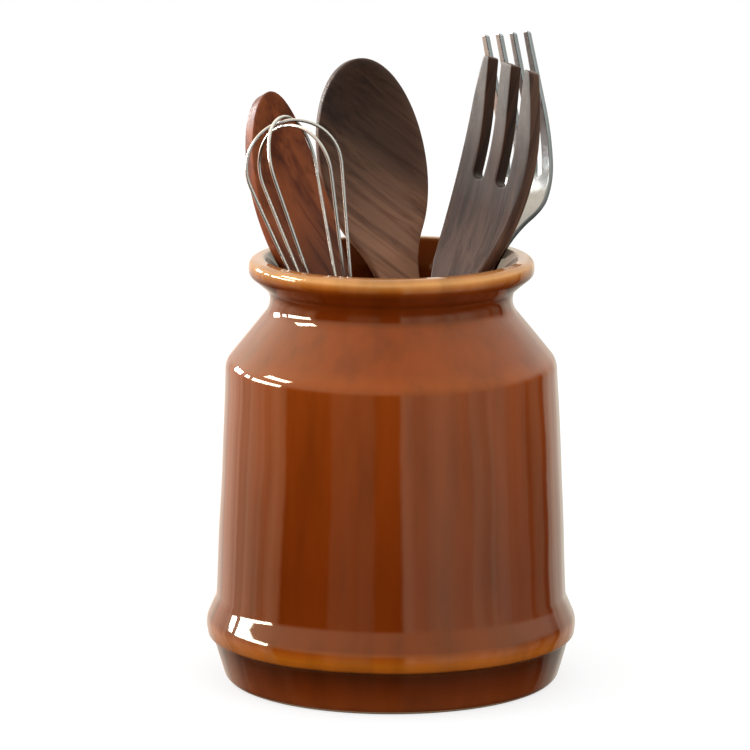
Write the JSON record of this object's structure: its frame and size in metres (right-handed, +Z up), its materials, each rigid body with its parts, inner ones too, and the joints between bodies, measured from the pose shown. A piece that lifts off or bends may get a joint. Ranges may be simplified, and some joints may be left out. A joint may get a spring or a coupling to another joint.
{
  "type": "utensil crock",
  "caption": "Glazed stoneware crock with a rolled lip and a ridge band, holding wooden spoons, a wooden fork, a steel fork and a small balloon whisk.",
  "frame": {"origin": "centre of the foot ring, on the surface that the crock stands on", "axes": "+Z up along the axis of the crock, -Y towards the front, +X to the right seen from the front"},
  "size_m": [0.1212, 0.1212, 0.2103],
  "materials": {
    "glaze": "glossy caramel brown glaze, paler where it breaks over the lip and the ridge",
    "dark_wood": "oiled dark hardwood",
    "red_wood": "oiled reddish hardwood",
    "polished_steel": "polished stainless steel"
  },
  "bodies": {
    "root": {"crock": "glaze"},
    "large_wooden_spoon": {"large_wooden_spoon": "dark_wood"},
    "small_wooden_spoon": {"small_wooden_spoon": "red_wood"},
    "wooden_fork": {"wooden_fork": "dark_wood"},
    "steel_fork": {"steel_fork": "polished_steel"},
    "whisk": {"whisk_wire_outer": "polished_steel", "whisk_wire_middle": "polished_steel", "whisk_wire_inner": "polished_steel", "whisk_plug": "polished_steel", "whisk_handle": "polished_steel", "whisk_end_cap": "polished_steel", "whisk_hanging_loop": "polished_steel"}
  },
  "joints": [
    {"name": "lift_large_spoon", "type": "slide", "parent": "root", "child": "large_wooden_spoon", "axis": [-0.2403, 0.1101, 0.9644], "range_m": [0, 0.16]},
    {"name": "lift_small_spoon", "type": "slide", "parent": "root", "child": "small_wooden_spoon", "axis": [-0.4368, 0.1586, 0.8855], "range_m": [0, 0.16]},
    {"name": "lift_wooden_fork", "type": "slide", "parent": "root", "child": "wooden_fork", "axis": [0.3056, 0.0649, 0.95], "range_m": [0, 0.16]},
    {"name": "lift_steel_fork", "type": "slide", "parent": "root", "child": "steel_fork", "axis": [0.0825, 0.2936, 0.9523], "range_m": [0, 0.16]},
    {"name": "lift_whisk", "type": "slide", "parent": "root", "child": "whisk", "axis": [-0.249, 0.0948, 0.9639], "range_m": [0, 0.16]}
  ]
}
